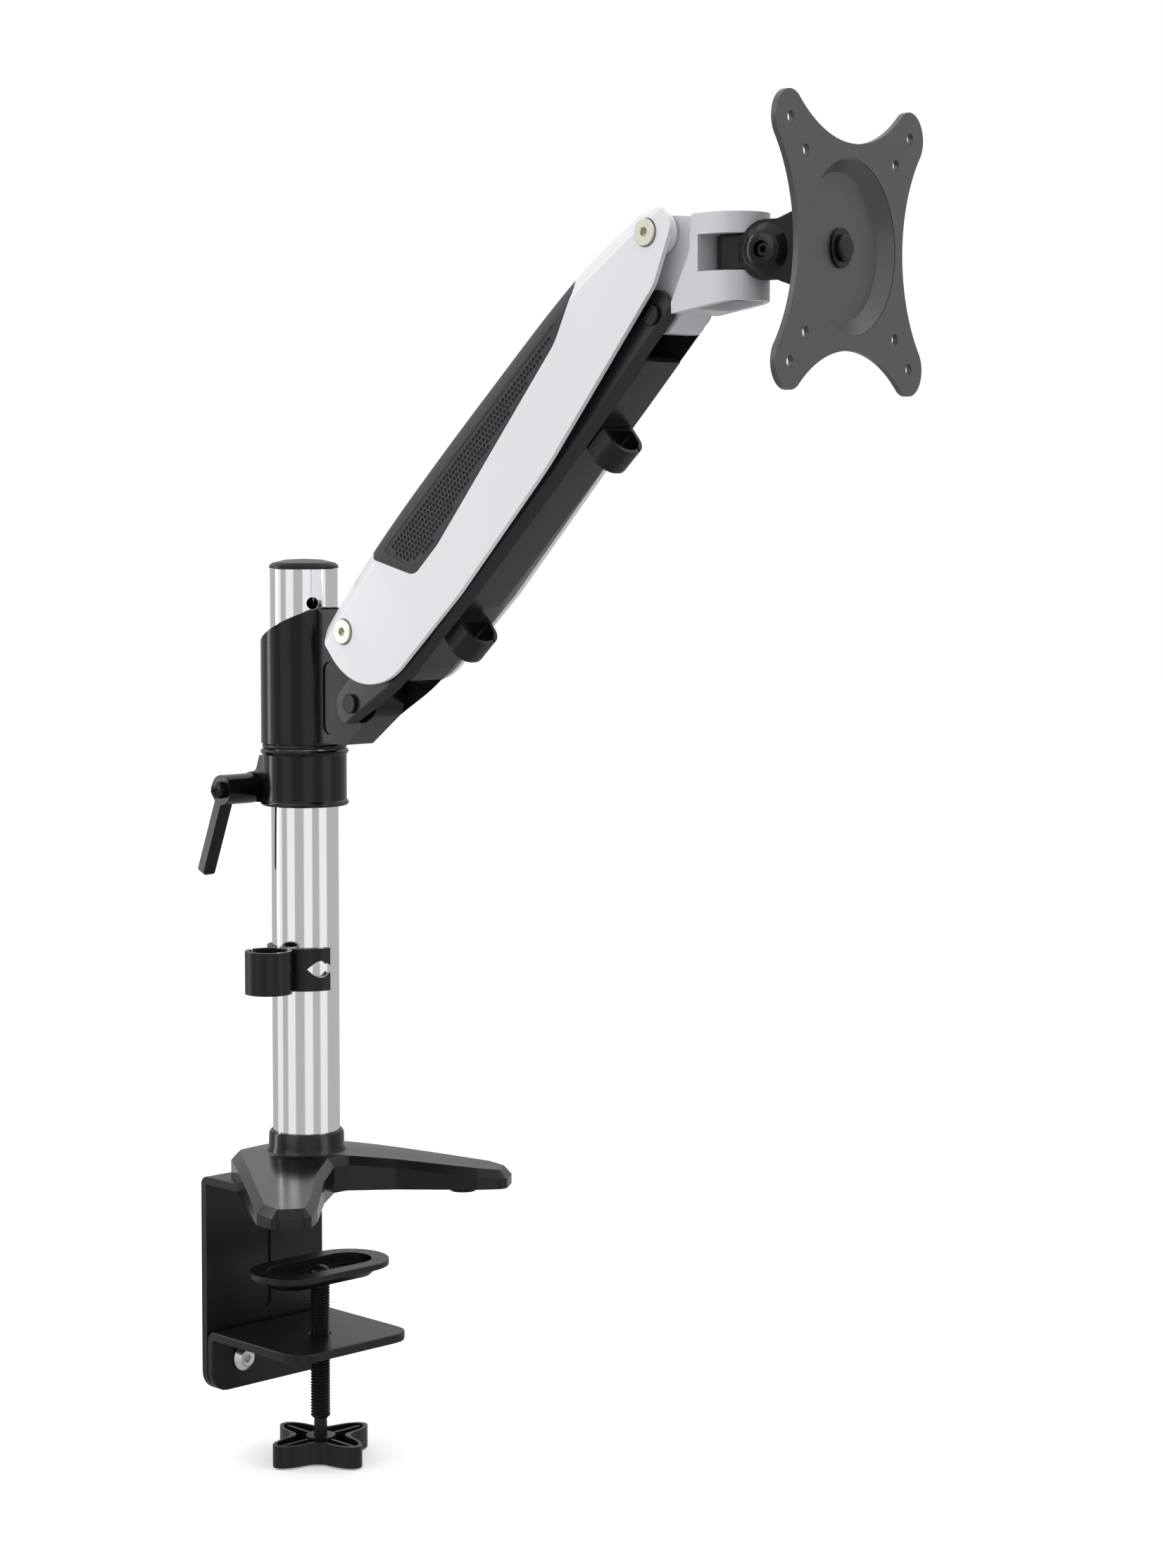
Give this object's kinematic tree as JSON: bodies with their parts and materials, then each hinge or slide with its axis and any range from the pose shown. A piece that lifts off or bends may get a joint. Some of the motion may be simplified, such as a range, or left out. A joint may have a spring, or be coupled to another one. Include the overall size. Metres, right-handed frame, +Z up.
{
  "type": "monitor arm",
  "caption": "Desk-clamped pole with a gas-spring parallelogram arm that carries a tilting, swivelling and rotating screen plate.",
  "frame": {"origin": "on the pole's axis, level with the desk's top surface, which the base's rubber pads rest on", "axes": "+Z up along the pole, +X from the pole along the arm towards the screen and over the desk, +Y along the desk's rear edge"},
  "size_m": [0.4114, 0.1558, 0.6538],
  "materials": {
    "white_paint": "gloss white paint",
    "pale_casting": "satin pale grey paint",
    "black_paint": "gloss black paint",
    "black_coat": "black powder coat",
    "grey_coat": "dark grey satin coat",
    "black_plastic": "black moulded plastic",
    "inlay": "black plastic with a fine pattern of dimples",
    "chrome": "polished chrome plate",
    "nickel": "pale nickel plate",
    "zinc": "bright zinc plate",
    "rubber": "black rubber",
    "nylon": "natural nylon"
  },
  "bodies": {
    "desk_clamp": {"desk_base": "black_paint", "base_pad_left": "rubber", "base_pad_right": "rubber", "base_pad_rear": "rubber", "clamp_back_plate": "black_coat", "clamp_jaw": "black_coat", "jaw_screw_left": "zinc", "jaw_screw_right": "zinc", "flange_screw_left": "zinc", "flange_screw_right": "zinc", "pole_foot_screw": "zinc", "pole": "chrome", "pole_cap": "black_plastic"},
    "pressure_foot": {"pressure_plate": "black_coat"},
    "clamp_spindle": {"clamp_screw": "black_coat", "clamp_knob": "black_plastic"},
    "cable_clip": {"pole_cable_clip": "black_plastic"},
    "collar": {"height_collar": "black_paint", "collar_bolt": "zinc", "spacer_ring": "black_plastic"},
    "lever": {"clamp_lever": "black_paint", "lever_screw": "black_paint"},
    "swivel_bracket": {"arm_bracket": "black_paint", "swivel_bushing": "nylon", "tension_screw": "zinc", "spring_anchor_pin": "zinc"},
    "arm": {"upper_arm": "white_paint", "arm_inlay": "inlay", "arm_axle_pole": "zinc", "arm_axle_head": "zinc", "pivot_screw_pole_near": "nickel", "pivot_screw_pole_far": "nickel", "pivot_screw_head_near": "nickel", "pivot_screw_head_far": "nickel", "spring_pin": "zinc", "gas_spring_body": "black_coat"},
    "spring_rod": {"gas_spring_rod": "chrome"},
    "link": {"lower_link": "black_paint", "link_pin_pole": "black_paint", "link_pin_head": "black_paint", "link_clip_pole": "black_plastic", "link_clip_head": "black_plastic"},
    "head": {"head_casting": "pale_casting", "swivel_pin": "black_coat"},
    "head_swivel": {"swivel_tongue": "black_plastic", "tilt_washer_near": "nylon", "tilt_washer_far": "nylon"},
    "tilt_bracket": {"tilt_yoke": "black_paint", "tilt_bolt": "black_coat"},
    "screen_plate": {"vesa_plate": "grey_coat", "vesa_spindle": "black_coat", "vesa_washer": "black_coat"}
  },
  "joints": [
    {"name": "foot_travel", "type": "slide", "parent": "desk_clamp", "child": "pressure_foot", "axis": [0, 0, 1], "range_m": [-0.026, 0.028]},
    {"name": "knob_turn", "type": "hinge", "parent": "pressure_foot", "child": "clamp_spindle", "pos_m": [0.01, 0, -0.038], "axis": [0, 0, 1], "range_deg": [-6250, 6730]},
    {"name": "clip_height", "type": "slide", "parent": "desk_clamp", "child": "cable_clip", "axis": [0, 0, 1], "range_m": [-0.07, 0]},
    {"name": "arm_height", "type": "slide", "parent": "desk_clamp", "child": "collar", "axis": [0, 0, 1], "range_m": [-0.065, 0.012]},
    {"name": "lever_turn", "type": "hinge", "parent": "collar", "child": "lever", "pos_m": [-0.027, 0, 0.203], "axis": [0, 1, 0], "range_deg": [0, 120]},
    {"name": "pole_swivel", "type": "hinge", "parent": "collar", "child": "swivel_bracket", "pos_m": [0, 0, 0.2486], "axis": [0, 0, 1], "range_deg": [-90, 90]},
    {"name": "arm_lift", "type": "hinge", "parent": "swivel_bracket", "child": "arm", "pos_m": [0.0544, 0, 0.2848], "axis": [0, -1, 0], "range_deg": [-64, 0]},
    {"name": "rod_travel", "type": "slide", "parent": "arm", "child": "spring_rod", "axis": [0.7093, 0, 0.7049], "range_m": [0, 0.0218]},
    {"name": "link_swing", "type": "hinge", "parent": "swivel_bracket", "child": "link", "pos_m": [0.0527, 0, 0.2493], "axis": [0, -1, 0], "range_deg": [-64, 0]},
    {"name": "head_level", "type": "hinge", "parent": "arm", "child": "head", "pos_m": [0.26002, 0, 0.46544], "axis": [0, -1, 0], "range_deg": [0, 64]},
    {"name": "head_pan", "type": "hinge", "parent": "head", "child": "head_swivel", "pos_m": [0.29502, 0, 0.45524], "axis": [0, 0, 1], "range_deg": [-50, 50]},
    {"name": "screen_tilt", "type": "hinge", "parent": "head_swivel", "child": "tilt_bracket", "pos_m": [0.31704, 0.00412, 0.45524], "axis": [-0.184, 0.9829, 0], "range_deg": [-35, 35]},
    {"name": "screen_turn", "type": "hinge", "parent": "tilt_bracket", "child": "screen_plate", "pos_m": [0.35223, 0.01071, 0.45524], "axis": [0.9829, 0.184, 0], "range_deg": [-90, 90]}
  ],
  "couplings": [
    {"joint": "knob_turn", "follows": "foot_travel", "rad_per_m": 4188.8},
    {"joint": "rod_travel", "follows": "arm_lift", "m_per_rad": -0.01934},
    {"joint": "link_swing", "follows": "arm_lift", "ratio": 1},
    {"joint": "head_level", "follows": "arm_lift", "ratio": -1}
  ]
}
